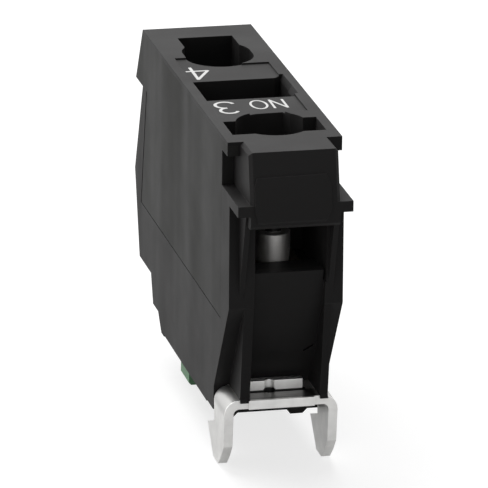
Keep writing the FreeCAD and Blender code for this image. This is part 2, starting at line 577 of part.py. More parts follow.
def retaining_clip():
    """One folded sheet: crossbar, two barbed legs, a flange bent up at the back and two tangs."""
    bottom = "foot_level - clip_thick"
    bar = box("clip_bar", ("-width / 2 + clip_bend", "width / 2 - clip_bend"),
              ("-clip_front", "-clip_rear"),
              (bottom, "foot_level"))
    step = box("clip_bar_step", ("-void_left - 0.1", "void_right - 0.5"),
               ("-clip_front - bar_step", "-clip_front + 0.1"),
               (bottom, "foot_level"))
    notch = box("clip_notch", ("-flange_half - flange_slot", "flange_half + flange_slot"),
                ("-flange_y + clip_thick", "0"), (bottom + " - 1", "foot_level + 1"))
    bar = cut("clip_bar_cut", bar, notch)
    flange = box("clip_flange", ("-flange_half", "flange_half"), ("-flange_y", "-flange_y + clip_thick"),
                 (bottom, "foot_level + flange_height"))
    dimple = cylinder("clip_dimple", "rib_radius", "-rib_x", "-flange_y - 0.15",
                      ("foot_level", "foot_level + flange_height + 1"))
    relief = cylinder("clip_relief", "rib_radius", "-rib_x", "-flange_y",
                      ("foot_level - 0.5", "foot_level + 0.3"))
    groove = box("clip_groove", ("-flange_half", "flange_half"), ("-flange_y - flange_slot", "-flange_y"),
                 ("foot_level - 0.5", "foot_level + 1"))
    flange = cut("clip_flange_cut", flange, dimple)
    legs = []
    for side, low, high in ((-1, LEFT, LEFT + " + clip_thick"), (1, RIGHT + " - clip_thick", RIGHT)):
        name = "clip_left" if side < 0 else "clip_right"
        legs.append(clip_bend(name + "_bend", side))
        legs.append(prism_x(name + "_leg", [
            ("-clip_front", "foot_level - clip_bend"), ("-leg_knee_y", "-leg_knee"),
            ("-leg_slant_y", "-leg_slant"), ("-leg_tip_y", "-leg_tip"), ("-leg_back_y", "-leg_tip"),
            ("-barb_y", "-barb_low"), ("-clip_rear - 0.2", "-barb_high"),
            ("-clip_rear", "foot_level - clip_bend")], low, high))
        reach = ("-tang_out", "-tang_in") if side < 0 else ("tang_in", "tang_out")
        legs.append(box(name + "_tang", reach, ("-clip_rear - 0.1", "-clip_rear + tang_length"),
                        (bottom, "foot_level")))
    finish(cut("clip_cut", fuse("clip_fuse", bar, step, flange, *legs), relief, groove), "retaining_clip")


housing()
side_cover()
plunger()
bridge()
springs()
terminals()
retaining_clip()
doc.recompute()

for thing in doc.Objects:
    if "Invalid" in thing.State or "Error" in thing.State:
        raise RuntimeError("%s could not be computed: %s" % (thing.Name, thing.State))
for thing in nodes:
    if thing.Shape.isNull() or not thing.Shape.isValid() or thing.Shape.Volume <= 0:
        raise RuntimeError(thing.Label + " has no valid solid")

os.makedirs("parts", exist_ok=True)
for thing in nodes:
    thing.Shape.exportStep("parts/%s.step" % thing.Label)
    print("%-20s %2d solid  %8.2f mm3" % (thing.Label, len(thing.Shape.Solids), thing.Shape.Volume))
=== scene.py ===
import math
from typing import NamedTuple

import bmesh
import bpy
from mathutils import Matrix, Vector


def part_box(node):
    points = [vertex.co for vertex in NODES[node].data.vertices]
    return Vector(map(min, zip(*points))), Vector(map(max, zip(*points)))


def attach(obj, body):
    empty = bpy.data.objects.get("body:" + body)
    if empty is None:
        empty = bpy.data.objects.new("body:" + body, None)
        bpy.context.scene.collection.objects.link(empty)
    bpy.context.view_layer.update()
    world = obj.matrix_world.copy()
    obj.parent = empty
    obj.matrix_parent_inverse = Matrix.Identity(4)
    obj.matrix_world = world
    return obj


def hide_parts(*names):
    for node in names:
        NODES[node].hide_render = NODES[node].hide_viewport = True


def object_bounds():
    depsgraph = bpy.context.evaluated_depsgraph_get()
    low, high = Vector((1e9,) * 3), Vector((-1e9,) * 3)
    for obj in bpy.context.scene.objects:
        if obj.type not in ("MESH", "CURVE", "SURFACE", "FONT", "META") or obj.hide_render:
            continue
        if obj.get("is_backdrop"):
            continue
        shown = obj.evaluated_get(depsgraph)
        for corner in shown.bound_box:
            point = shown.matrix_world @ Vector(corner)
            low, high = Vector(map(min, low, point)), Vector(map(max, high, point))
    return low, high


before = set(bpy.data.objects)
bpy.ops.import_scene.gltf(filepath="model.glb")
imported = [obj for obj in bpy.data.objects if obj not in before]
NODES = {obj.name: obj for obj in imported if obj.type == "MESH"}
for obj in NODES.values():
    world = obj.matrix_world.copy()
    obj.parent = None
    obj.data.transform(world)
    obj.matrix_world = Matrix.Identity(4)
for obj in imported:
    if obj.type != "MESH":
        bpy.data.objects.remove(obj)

bl_info = {
    "name": "Contact block",
    "version": (1, 0, 0),
    "blender": (4, 5, 0),
    "location": "3D View > Sidebar > Contact block",
    "description": "Finishes, screws, terminal prints and studio for a narrow clip-on contact block",
    "category": "Object",
}

MM = 0.001
FRONT_LOW, FRONT_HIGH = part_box("front_screw")
REAR_LOW, REAR_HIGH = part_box("rear_screw")
CLIP_LOW, CLIP_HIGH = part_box("retaining_clip")
HOUSING_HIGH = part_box("housing")[1]


# Sizes and colours


def length(name, description, default):
    """A size in metres."""
    return bpy.props.FloatProperty(name=name, description=description, default=default,
                                   min=0.0, subtype="DISTANCE", unit="LENGTH", precision=5)


def spot(name, description, default):
    """A place on the top, across and along the block, in metres."""
    return bpy.props.FloatVectorProperty(name=name, description=description, default=default,
                                         size=2, unit="LENGTH", precision=5)


def colour(name, description, default):
    """A colour without alpha."""
    return bpy.props.FloatVectorProperty(name=name, description=description, default=default,
                                         min=0.0, max=1.0, size=3, subtype="COLOR")


def share(name, description, default):
    """A number from 0 to 1."""
    return bpy.props.FloatProperty(name=name, description=description, default=default,
                                   min=0.0, max=1.0, subtype="FACTOR")


def power(name, description, default):
    """The power of a lamp in watts."""
    return bpy.props.FloatProperty(name=name, description=description, default=default,
                                   min=0.0, subtype="POWER")


class BodyLook(bpy.types.PropertyGroup):
    """Colours and surface of the moulded pieces."""
    housing: colour("Housing", "Black of the moulded housing", (0.0150, 0.0145, 0.0145))
    cover: colour("Side cover", "Black of the flat side cover", (0.0155, 0.0155, 0.0148))
    plunger: colour("Plunger", "Green of the plunger", (0.15, 0.30, 0.17))
    ink: colour("Print", "White of the terminal prints", (0.72, 0.72, 0.71))
    grain: length("Grain", "Width of the fine moulded grain", 0.00016)
    grain_depth: length("Grain depth", "Depth of the fine moulded grain", 0.000004)
    edge: length("Edge radius", "Radius of the moulded edges", 0.00007)


class MetalLook(bpy.types.PropertyGroup):
    """Colours and surface of the metal pieces."""
    clip: colour("Clip", "Nickel of the folded clip", (0.88, 0.875, 0.86))
    screw: colour("Screws", "Zinc of the screws", (0.59, 0.58, 0.565))
    clamp: colour("Clamps", "Zinc of the clamp plates and washers", (0.50, 0.50, 0.51))
    spring: colour("Springs", "Bright spring wire", (0.60, 0.60, 0.62))
    strip: colour("Strips", "Tinned brass of the terminal strips and the bridge", (0.56, 0.50, 0.38))
    tip: colour("Tips", "Silver of the contact tips", (0.82, 0.82, 0.80))
    edge: length("Edge radius", "Radius of the stamped edges", 0.00008)
    line_depth: length("Line depth", "Depth of the fine rolling lines", 0.000002)


class ScrewSizes(bpy.types.PropertyGroup):
    """Sizes of the terminal screws."""
    shank_radius: length("Shank radius", "Radius over the thread", 0.0015)
    pitch: length("Pitch", "Pitch of the thread", 0.0005)
    thread_depth: length("Thread depth", "Height of the thread's ridge", 0.00022)
    thread_start: length("Thread start", "Distance from under the head to the first turn", 0.0050)
    head_height: length("Head height", "Height of the head", 0.0016)
    neck_radius: length("Neck radius", "Radius of the thin neck under the head", 0.0007)
    neck_length: length("Neck length", "Length of the neck inside the washer and the plate", 0.00225)
    recess_span: length("Recess span", "Distance over two wings of the cross recess", 0.0032)
    recess_width: length("Recess width", "Width of the cross recess's wings", 0.0007)
    recess_depth: length("Recess depth", "Depth of the cross recess", 0.0010)


class PrintSizes(bpy.types.PropertyGroup):
    """Sizes and places of the prints on the top."""
    ink: length("Ink thickness", "Height of the ink over the label recess", 0.00001)
    recess: length("Label recess", "Depth of the label recess under the prints", 0.00015)
    digit: length("Digit height", "Height of the terminal numbers", 0.0036)
    digit_width: length("Digit width", "Width of the terminal numbers", 0.00188)
    letter: length("Letter height", "Height of the contact letters", 0.0024)
    letter_width: length("Letter width", "Width of one contact letter with its space", 0.00120)
    stroke: length("Stroke", "Width of the numbers' strokes", 0.00028)
    letter_stroke: share("Letter stroke", "Width of the letters' strokes beside the numbers' strokes", 0.75)
    rear_place: spot("Rear number", "Middle of the rear terminal number", (-0.00288, 0.00602))
    front_place: spot("Front number", "Middle of the front terminal number", (-0.00276, -0.00459))
    letters_place: spot("Letters", "Middle between the two contact letters", (0.00096, -0.00420))


class StageLook(bpy.types.PropertyGroup):
    """Floor and lights."""
    floor: colour("Floor", "Pale floor", (0.40, 0.40, 0.40))
    seen_glow: share("Seen glow", "White that the camera sees in the floor besides its shadow", 0.72)
    mirrored_glow: share("Mirrored glow", "White that polished faces see in the floor", 0.28)
    top_light: power("Top light", "Power of the softbox overhead", 2.0)
    side_light: power("Side light", "Power of the softbox on the left", 0.6)
    ambient: share("Ambient", "Strength of the even light all round", 0.25)


# Nodes and materials


def add(tree, kind, inputs=(), **values):
    """A new node with its properties and its inputs' plain values set."""
    node = tree.nodes.new(kind)
    for key, value in values.items():
        setattr(node, key, value)
    for key, value in dict(inputs).items():
        node.inputs[key].default_value = value
    return node


def link(tree, source, target):
    """Joins an output to an input."""
    tree.links.new(source, target)


def feed(tree, value, target):
    """Joins an output to an input, or sets a plain value there."""
    if isinstance(value, bpy.types.NodeSocket):
        link(tree, value, target)
    else:
        target.default_value = value


def math_node(tree, operation, a, b=None, clamp=False):
    """A Math node on sockets or plain numbers; returns its result."""
    node = add(tree, "ShaderNodeMath", operation=operation, use_clamp=clamp)
    feed(tree, a, node.inputs[0])
    if b is not None:
        feed(tree, b, node.inputs[1])
    return node.outputs[0]


def spread(tree, value, low, high, to_low=0.0, to_high=1.0):
    """Maps a value from low..high to another range, and holds it at the range's ends."""
    node = add(tree, "ShaderNodeMapRange",
               {"From Min": low, "From Max": high, "To Min": to_low, "To Max": to_high})
    link(tree, value, node.inputs["Value"])
    return node.outputs["Result"]


def contrast(tree, noise, margin, to_low=0.0, to_high=1.0):
    """Spreads a noise's middle values, all but a margin at both ends, over a whole range."""
    return spread(tree, noise, margin, 1.0 - margin, to_low, to_high)


def blend_colours(tree, factor, first, second):
    """Mixes two colours, each a socket or plain numbers."""
    node = add(tree, "ShaderNodeMix", data_type="RGBA")
    link(tree, factor, node.inputs["Factor"])
    for name, value in (("A", first), ("B", second)):
        feed(tree, value, [s for s in node.inputs if s.name == name and s.type == "RGBA"][0])
    return [s for s in node.outputs if s.type == "RGBA"][0]


def noise_value(tree, vector, scale, detail=2.0, roughness=0.5, distortion=0.0):
    """A noise over a vector, from 0 to 1; its scale is a socket or a plain number."""
    node = add(tree, "ShaderNodeTexNoise",
               {"Detail": detail, "Roughness": roughness, "Distortion": distortion})
    link(tree, vector, node.inputs["Vector"])
    feed(tree, scale, node.inputs["Scale"])
    return node.outputs["Fac"]


def new_group(name, inputs, outputs):
    """A shader node group with its sockets; returns it with its input and output nodes."""
    group = bpy.data.node_groups.new(name, "ShaderNodeTree")
    for label, kind, value in inputs:
        socket = group.interface.new_socket(name=label, in_out="INPUT", socket_type=kind)
        if value is not None:
            socket.default_value = value
    for label, kind in outputs:
        group.interface.new_socket(name=label, in_out="OUTPUT", socket_type=kind)
    return group, group.nodes.new("NodeGroupInput"), group.nodes.new("NodeGroupOutput")


def grain_group():
    """Fine moulded grain with a slow change of tone."""
    group, start, end = new_group(
        "Moulded grain",
        [("Vector", "NodeSocketVector", None), ("Scale", "NodeSocketFloat", 6000.0)],
        [("Height", "NodeSocketFloat"), ("Tone", "NodeSocketFloat")])
    where = start.outputs["Vector"]
    fine = noise_value(group, where, start.outputs["Scale"], detail=3.0, roughness=0.6)
    slow = noise_value(group, where, 260.0, detail=4.0, roughness=0.55)
    link(group, fine, end.inputs["Height"])
    link(group, contrast(group, slow, 0.3), end.inputs["Tone"])
    return group


def edge_group():
    """A mask of the rubbed edges, found where a rounded normal turns away from the face's own."""
    group, start, end = new_group(
        "Edge wear",
        [("Vector", "NodeSocketVector", None), ("Amount", "NodeSocketFloat", 0.5)],
        [("Worn", "NodeSocketFloat")])
    rounded = add(group, "ShaderNodeBevel", {"Radius": 0.0001}, samples=6)
    surface = add(group, "ShaderNodeNewGeometry")
    agreement = add(group, "ShaderNodeVectorMath", operation="DOT_PRODUCT")
    link(group, rounded.outputs["Normal"], agreement.inputs[0])
    link(group, surface.outputs["Normal"], agreement.inputs[1])
    on_face, on_edge = 0.995, 0.86
    turned = spread(group, agreement.outputs["Value"], on_face, on_edge)
    patchy = noise_value(group, start.outputs["Vector"], 700.0, detail=3.0)
    worn = math_node(group, "MULTIPLY", turned, contrast(group, patchy, 0.35, to_low=0.35))
    link(group, math_node(group, "MULTIPLY", worn, start.outputs["Amount"], clamp=True), end.inputs["Worn"])
    return group


def flow_and_sheen_band_group():
    """Soft bands across the length: painted sheen where they lighten the colour, flow lines where they
    change the roughness.
    """
    group, start, end = new_group(
        "Flow and sheen bands",
        [("Vector", "NodeSocketVector", None), ("Scale", "NodeSocketFloat", 180.0)],
        [("Band", "NodeSocketFloat")])
    stretch = add(group, "ShaderNodeMapping", {"Scale": (0.25, 1.0, 0.10)})
    link(group, start.outputs["Vector"], stretch.inputs["Vector"])
    flow = noise_value(group, stretch.outputs["Vector"], start.outputs["Scale"],
                       detail=1.0, roughness=0.4, distortion=0.3)
    link(group, contrast(group, flow, 0.38), end.inputs["Band"])
    return group


def rolled_group():
    """Fine rolling lines of sheet and wire, and duller spots of the plating."""
    group, start, end = new_group(
        "Rolled metal",
        [("Vector", "NodeSocketVector", None), ("Scale", "NodeSocketFloat", 9000.0),
         ("Along", "NodeSocketVector", (1.0, 1.0, 0.04))],
        [("Line", "NodeSocketFloat"), ("Spot", "NodeSocketFloat")])
    stretch = add(group, "ShaderNodeVectorMath", operation="MULTIPLY")
    link(group, start.outputs["Vector"], stretch.inputs[0])
    link(group, start.outputs["Along"], stretch.inputs[1])
    lines = noise_value(group, stretch.outputs["Vector"], start.outputs["Scale"])
    spots = noise_value(group, start.outputs["Vector"], 900.0, detail=3.0, roughness=0.6)
    link(group, lines, end.inputs["Line"])
    link(group, contrast(group, spots, 0.35), end.inputs["Spot"])
    return group


def effect(name, builder):
    """The shared effect of that name, built the first time it is asked for."""
    return bpy.data.node_groups.get(name) or builder()


def place_group(tree, group, vector, **values):
    """Puts a shared effect in a material with its own values."""
    node = add(tree, "ShaderNodeGroup", node_tree=group)
    link(tree, vector, node.inputs["Vector"])
    for key, value in values.items():
        node.inputs[key].default_value = value
    return node


def new_material(name):
    """A material with its shader, its output and the object's own coordinates."""
    material = bpy.data.materials.new(name)
    material.use_nodes = True
    tree = material.node_tree
    tree.nodes.clear()
    shader = add(tree, "ShaderNodeBsdfPrincipled")
    output = add(tree, "ShaderNodeOutputMaterial")
    link(tree, shader.outputs["BSDF"], output.inputs["Surface"])
    where = add(tree, "ShaderNodeTexCoord").outputs["Object"]
    return material, tree, shader, where


def soften(tree, shader, radius, height, depth):
    """Rounds the edges in the shading, with a fine height over them."""
    rounded = add(tree, "ShaderNodeBevel", {"Radius": radius}, samples=6)
    bump = add(tree, "ShaderNodeBump", {"Strength": 1.0, "Distance": depth})
    link(tree, height, bump.inputs["Height"])
    link(tree, rounded.outputs["Normal"], bump.inputs["Normal"])
    link(tree, bump.outputs["Normal"], shader.inputs["Normal"])


def shade(tint, factor):
    """A colour made lighter or darker, with its alpha."""
    return [min(1.0, c * factor) for c in tint] + [1.0]


class PaintedShade(NamedTuple):
    """A place painted darker as shade, as in a fold or under a head.

    It is a box between two corners, with the distance on each axis in which it fades out, all in mm of the
    object's own coordinates. The last value is how much of the metal's tint is left in it.
    """
    low: tuple
    high: tuple
    fade: tuple
    left: float


def painted_shade_mask(tree, where, painted_shade):
    """A mask of painted shade that is 1 inside the box and fades out past its sides."""
    apart = add(tree, "ShaderNodeSeparateXYZ")
    link(tree, where, apart.inputs["Vector"])
    mask = 1.0
    for axis, least, most, edge in zip("XYZ", painted_shade.low, painted_shade.high, painted_shade.fade):
        place = apart.outputs[axis]
        mask = math_node(tree, "MULTIPLY", spread(tree, place, (least - edge) * MM, least * MM), mask)
        mask = math_node(tree, "MULTIPLY", spread(tree, place, (most + edge) * MM, most * MM), mask)
    return mask


def moulded_plastic(name, tint, look, roughness=0.42, bands=0.0, wear=0.5, specular=0.10):
    """Glass-filled plastic: grain, bands of painted sheen and flow, and paler rubbed edges."""
    material, tree, shader, where = new_material(name)
    dark, pale, painted_sheen, rubbed = (shade(tint, factor) for factor in (0.86, 1.14, 2.4, 3.2))
    grain = place_group(tree, effect("Moulded grain", grain_group), where, Scale=1.0 / look.grain)
    edges = place_group(tree, effect("Edge wear", edge_group), where, Amount=wear)
    base = blend_colours(tree, grain.outputs["Tone"], dark, pale)
    smoother, rougher = roughness - 0.03, roughness + 0.04
    rough = spread(tree, grain.outputs["Tone"], 0.0, 1.0, smoother, rougher)
    if bands:
        flow = place_group(tree, effect("Flow and sheen bands", flow_and_sheen_band_group), where).outputs["Band"]
        band_roughness = 0.22 * bands
        # Painted sheen: the bands lighten the base colour as reflections would; their roughness change is
        # the surface's own
        base = blend_colours(tree, math_node(tree, "MULTIPLY", flow, bands), base, painted_sheen)
        rough = math_node(tree, "ADD", rough, math_node(tree, "MULTIPLY", flow, band_roughness))
    base = blend_colours(tree, edges.outputs["Worn"], base, rubbed)
    link(tree, base, shader.inputs["Base Color"])
    link(tree, rough, shader.inputs["Roughness"])
    shader.inputs["Specular IOR Level"].default_value = specular
    soften(tree, shader, look.edge, grain.outputs["Height"], look.grain_depth)
    return material


def plated_metal(name, tint, look, roughness=0.3, along=(1.0, 1.0, 0.04), patchy=0.12, cut_edges=0.0,
                 painted_shades=()):
    """Plated or rolled metal: fine lines, duller spots, brighter edges.

    The faces where the sheet was cut can be rougher, and single places can be painted darker as shade.
    """
    material, tree, shader, where = new_material(name)
    dull, bright, rubbed = (shade(tint, factor) for factor in (1.0 - patchy, 1.04, 1.25))
    rolled = place_group(tree, effect("Rolled metal", rolled_group), where, Along=along)
    edges = place_group(tree, effect("Edge wear", edge_group), where, Amount=0.6)
    base = blend_colours(tree, rolled.outputs["Spot"], dull, bright)
    base = blend_colours(tree, edges.outputs["Worn"], base, rubbed)
    # Painted shade: each place darkens the base colour to a share of the tint
    for painted_shade in painted_shades:
        base = blend_colours(tree, painted_shade_mask(tree, where, painted_shade), base, shade(tint, painted_shade.left))
    link(tree, base, shader.inputs["Base Color"])
    smoother, rougher, spot_roughness = roughness - 0.05, roughness + 0.06, 0.06
    rough = math_node(tree, "ADD", contrast(tree, rolled.outputs["Line"], 0.3, smoother, rougher),
                      math_node(tree, "MULTIPLY", rolled.outputs["Spot"], spot_roughness))
    if cut_edges:
        facing = add(tree, "ShaderNodeSeparateXYZ")
        link(tree, add(tree, "ShaderNodeNewGeometry").outputs["Normal"], facing.inputs["Vector"])
        ahead = math_node(tree, "ABSOLUTE", facing.outputs["Y"])
        rough = math_node(tree, "ADD", rough, math_node(tree, "MULTIPLY", ahead, cut_edges))
    link(tree, rough, shader.inputs["Roughness"])
    shader.inputs["Metallic"].default_value = 1.0
    soften(tree, shader, look.edge, rolled.outputs["Line"], look.line_depth)
    return material


def ink_material(name, tint):
    """Pad-printed ink, a little uneven where the grain shows through."""
    material, tree, shader, where = new_material(name)
    thin, thick = shade(tint, 0.9), shade(tint, 1.03)
    noise = noise_value(tree, where, 5000.0)
    link(tree, blend_colours(tree, contrast(tree, noise, 0.3), thin, thick), shader.inputs["Base Color"])
    link(tree, contrast(tree, noise, 0.3, to_low=0.5, to_high=0.62), shader.inputs["Roughness"])
    return material


# Meshes


def smoothing_group():
    """Joins the loose triangles of a CAD node for display and shades its round faces smooth."""
    name = "Round faces"
    group = bpy.data.node_groups.get(name)
    if group:
        return group
    group = bpy.data.node_groups.new(name, "GeometryNodeTree")
    group.is_modifier = True
    group.interface.new_socket(name="Mesh", in_out="INPUT", socket_type="NodeSocketGeometry")
    group.interface.new_socket(name="Mesh", in_out="OUTPUT", socket_type="NodeSocketGeometry")
    start = group.nodes.new("NodeGroupInput")
    end = group.nodes.new("NodeGroupOutput")
    crease = math.radians(14)
    merge = add(group, "GeometryNodeMergeByDistance", {"Distance": 0.000001})
    faces = add(group, "GeometryNodeSetShadeSmooth", {"Shade Smooth": True}, domain="FACE")
    angle = add(group, "GeometryNodeInputMeshEdgeAngle")
    sharp = add(group, "FunctionNodeCompare", {"B": crease}, data_type="FLOAT", operation="GREATER_THAN")
    edges = add(group, "GeometryNodeSetShadeSmooth", {"Shade Smooth": False}, domain="EDGE")
    link(group, start.outputs[0], merge.inputs["Geometry"])
    link(group, merge.outputs["Geometry"], faces.inputs["Geometry"])
    link(group, faces.outputs["Geometry"], edges.inputs["Geometry"])
    link(group, angle.outputs["Unsigned Angle"], sharp.inputs["A"])
    link(group, sharp.outputs["Result"], edges.inputs["Selection"])
    link(group, edges.outputs["Geometry"], end.inputs[0])
    return group


def dress(node, material):
    """Gives a CAD node its material and smooth round faces."""
    piece = NODES[node]
    piece.data.materials.clear()
    piece.data.materials.append(material)
    smooth = piece.modifiers.new("Round faces", "NODES")
    smooth.node_group = smoothing_group()


def finish_piece(bm, name, material, body):
    """Turns a bmesh into a piece that rides on a body."""
    bmesh.ops.recalc_face_normals(bm, faces=bm.faces)
    mesh = bpy.data.meshes.new(name)
    bm.to_mesh(mesh)
    bm.free()
    piece = bpy.data.objects.new(name, mesh)
    bpy.context.scene.collection.objects.link(piece)
    piece.data.materials.append(material)
    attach(piece, body)
    return piece


def combine(piece, bm, operation):
    """Joins a bmesh to a piece, or cuts it out of the piece, and leaves one closed mesh."""
    other_mesh = bpy.data.meshes.new("other shape")
    bm.to_mesh(other_mesh)
    bm.free()
    other = bpy.data.objects.new("other_shape", other_mesh)
    bpy.context.scene.collection.objects.link(other)
    joint = piece.modifiers.new("Combine", "BOOLEAN")
    joint.object, joint.operation, joint.solver = other, operation, "EXACT"
    joint.use_self = True
    bpy.context.view_layer.update()
    shaped = bpy.data.meshes.new_from_object(piece.evaluated_get(bpy.context.evaluated_depsgraph_get()))
    piece.modifiers.remove(joint)
    piece.data = shaped
    bpy.data.objects.remove(other)
    weld, in_line = 5e-7, math.radians(0.5)
    clean = bmesh.new()
    clean.from_mesh(shaped)
    bmesh.ops.remove_doubles(clean, verts=clean.verts, dist=weld)
    bmesh.ops.dissolve_degenerate(clean, dist=weld, edges=clean.edges)
    bmesh.ops.dissolve_limit(clean, angle_limit=in_line, verts=clean.verts, edges=clean.edges)
    clean.to_mesh(shaped)
    clean.free()


def turned_profile(bm, points, centre):
    """Spins a profile of (radius, height) points once round the upright axis through centre."""
    outline = [bm.verts.new((centre.x + r, centre.y, centre.z + z)) for r, z in points]
    edges = [bm.edges.new(pair) for pair in zip(outline, outline[1:])]
    bmesh.ops.spin(bm, geom=outline + edges, cent=centre, axis=(0, 0, 1), angle=math.tau,
                   steps=64, use_merge=True)
    bmesh.ops.remove_doubles(bm, verts=bm.verts, dist=1e-7)


def ridge(bm, radius, low, turns, pitch, depth, centre):
    """Winds the thread's ridge round the shank, with its foot sunk a little into the core."""
    half, crest, sunk, steps_per_turn = 0.42 * pitch, 0.05 * pitch, 0.00004, 32
    steps = int(turns * steps_per_turn)
    foot = radius - depth - sunk
    loop = [bm.verts.new((centre.x + r, centre.y, low + z))
            for r, z in ((foot, -half), (radius, -crest), (radius, crest), (foot, half))]
    face = bm.faces.new(loop)
    bmesh.ops.spin(bm, geom=[face] + list(face.edges) + loop, cent=centre, axis=(0, 0, 1),
                   dvec=(0, 0, pitch * turns / steps), angle=math.tau * turns, steps=steps,
                   use_duplicate=False)


# Pieces


class CONTACT_OT_body(bpy.types.Operator):
    """Gives the housing and the side cover their moulded black"""
    bl_idname = "contact.body"
    bl_label = "Housing and cover"

    def execute(self, context):
        look = context.scene.contact_body
        dress("housing", moulded_plastic("housing black", look.housing, look, bands=0.5))
        dress("side_cover", moulded_plastic("cover black", look.cover, look, bands=1.0))
        return {"FINISHED"}


class CONTACT_OT_plunger(bpy.types.Operator):
    """Gives the plunger its green"""
    bl_idname = "contact.plunger"
    bl_label = "Plunger"

    def execute(self, context):
        look = context.scene.contact_body
        dress("plunger", moulded_plastic("plunger green", look.plunger, look,
                                         roughness=0.40, wear=0.25, specular=0.2))
        return {"FINISHED"}


class CONTACT_OT_clip(bpy.types.Operator):
    """Gives the folded clip its nickel plating"""
    bl_idname = "contact.clip"
    bl_label = "Retaining clip"

    def execute(self, context):
        look = context.scene.contact_metal
        dress("retaining_clip", plated_metal("clip nickel", look.clip, look, roughness=0.38,
                                             along=(0.05, 1.0, 1.0), patchy=0.04, cut_edges=0.12,
                                             painted_shades=self.painted_shades()))
        return {"FINISHED"}

    def painted_shades(self):
        """The clip's painted shade: a painted dark reflection of the housing on the crossbar's top, and
        painted shade at the feet of the flange and its rib and on both bends.
        """
        bar_step, flange_height, flange_back, bend, past = 0.25, 0.95, 2.0, 1.1, 0.5
        side = CLIP_HIGH.x / MM
        front = CLIP_LOW.y / MM + bar_step
        top = CLIP_HIGH.z / MM - flange_height
        flange = front + flange_back
        # Painted dark reflection of the black housing on the crossbar's top
        yield PaintedShade(low=(-3.0, front + 0.1, top - 0.04), high=(3.0, flange - 0.12, top + 7.6),
                    fade=(0.7, 0.09, 0.08), left=0.16)
        # Painted shade in the gap at the flange's foot
        yield PaintedShade(low=(-2.55, flange - 0.30, top - 0.70), high=(2.55, flange + 0.4, top + 0.08),
                    fade=(0.1, 0.04, 0.05), left=0.05)
        # Painted shade in the notch at the rib's foot
        yield PaintedShade(low=(-1.1, flange - 0.1, top - 0.70), high=(-0.1, flange + 0.5, top + 0.16),
                    fade=(0.08, 0.04, 0.06), left=0.05)
        # Painted shade that dims the reflection on both bends
        for least, most in ((-side - past, -side + bend), (side - bend, side + past)):
            yield PaintedShade(low=(least, front + 0.2, top - 1.0), high=(most, front + 10.0, top + 0.6),
                        fade=(0.4, 0.12, 0.5), left=0.68)


class CONTACT_OT_clamps(bpy.types.Operator):
    """Gives the clamp plates and lock washers their zinc plating"""
    bl_idname = "contact.clamps"
    bl_label = "Clamp plates and washers"

    def execute(self, context):
        look = context.scene.contact_metal
        zinc = plated_metal("clamp zinc", look.clamp, look, roughness=0.38, along=(1.0, 0.05, 1.0))
        for node in ("front_clamp_plate", "rear_clamp_plate", "front_lock_washer", "rear_lock_washer"):
            dress(node, zinc)
        return {"FINISHED"}


class CONTACT_OT_contacts(bpy.types.Operator):
    """Gives the strips, the bridge and the contact tips their brass and silver"""
    bl_idname = "contact.contacts"
    bl_label = "Strips, bridge and tips"

    def execute(self, context):
        look = context.scene.contact_metal
        brass = plated_metal("strip brass", look.strip, look, roughness=0.3, along=(1.0, 0.05, 1.0))
        silver = plated_metal("tip silver", look.tip, look, roughness=0.26, along=(1.0, 1.0, 1.0))
        for node in ("front_terminal", "rear_terminal", "contact_bridge"):
            dress(node, brass)
        for node in ("front_fixed_tip", "rear_fixed_tip", "bridge_tip_front", "bridge_tip_rear"):
            dress(node, silver)
        return {"FINISHED"}


class CONTACT_OT_springs(bpy.types.Operator):
    """Gives both springs their bright wire"""
    bl_idname = "contact.springs"
    bl_label = "Springs"

    def execute(self, context):
        look = context.scene.contact_metal
        wire = plated_metal("spring wire", look.spring, look, roughness=0.24, along=(1.0, 1.0, 1.0))
        for node in ("return_spring", "contact_spring"):
            dress(node, wire)
        return {"FINISHED"}


